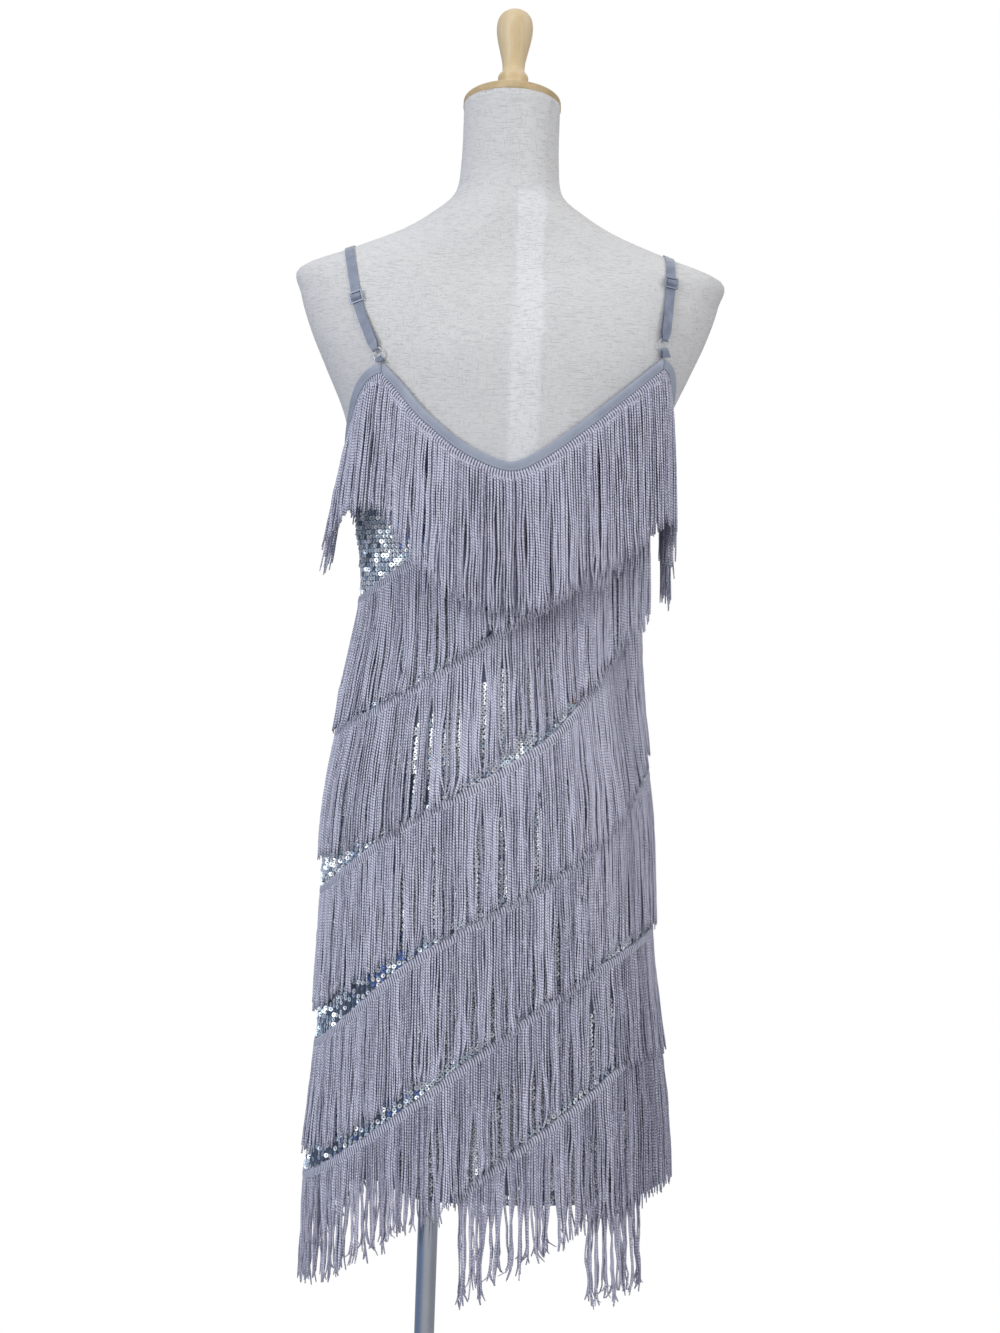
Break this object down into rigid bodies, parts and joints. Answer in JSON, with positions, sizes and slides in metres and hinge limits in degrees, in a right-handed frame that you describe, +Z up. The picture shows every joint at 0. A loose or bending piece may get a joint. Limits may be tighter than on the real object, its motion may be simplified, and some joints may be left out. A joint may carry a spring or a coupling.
{
  "type": "flapper dress on dress form",
  "caption": "Sleeveless sequinned dress with slanting tiers of fringe and thin adjustable straps, worn by a limbless dress form on a round pole and plate.",
  "frame": {"origin": "on the floor, at the base plate's underside, under the dress's centre line", "axes": "+Z up, +X towards the wearer's right, +Y towards the wearer's front"},
  "size_m": [0.4301, 0.36, 1.5885],
  "materials": {
    "sequinned_cloth": "sheer cloth set with small silver and ice-blue sequins",
    "fringe_yarn": "lavender-grey chain-knit fringe with a soft sheen",
    "satin_binding": "blue-grey satin",
    "clear_plastic": "clear, polished",
    "slider_metal": "silver plate",
    "linen": "plain grey-white linen",
    "pale_wood": "pale oiled wood",
    "polished_metal": "polished"
  },
  "bodies": {
    "root": {"back_panel": "sequinned_cloth", "front_panel": "sequinned_cloth", "back_neck_binding": "satin_binding", "front_neck_binding": "satin_binding", "left_armhole_binding": "satin_binding", "right_armhole_binding": "satin_binding", "fringe_a_back": "fringe_yarn", "fringe_a_front": "fringe_yarn", "fringe_b_back": "fringe_yarn", "fringe_b_front": "fringe_yarn", "fringe_c_back": "fringe_yarn", "fringe_c_front": "fringe_yarn", "fringe_d_back": "fringe_yarn", "fringe_d_front": "fringe_yarn", "fringe_e_back": "fringe_yarn", "fringe_e_front": "fringe_yarn", "fringe_f_back": "fringe_yarn", "fringe_f_front": "fringe_yarn", "fringe_g_back": "fringe_yarn", "fringe_g_front": "fringe_yarn", "fringe_h_back": "fringe_yarn", "left_tab": "satin_binding", "right_tab": "satin_binding", "left_ring": "clear_plastic", "right_ring": "clear_plastic", "left_strap": "satin_binding", "right_strap": "satin_binding", "left_slider": "slider_metal", "right_slider": "slider_metal", "form_torso": "linen", "neck_cap": "pale_wood", "cap_knob": "pale_wood", "base_plate": "polished_metal", "pole_collar": "polished_metal", "pole_socket": "polished_metal", "pole": "polished_metal"}
  },
  "joints": []
}
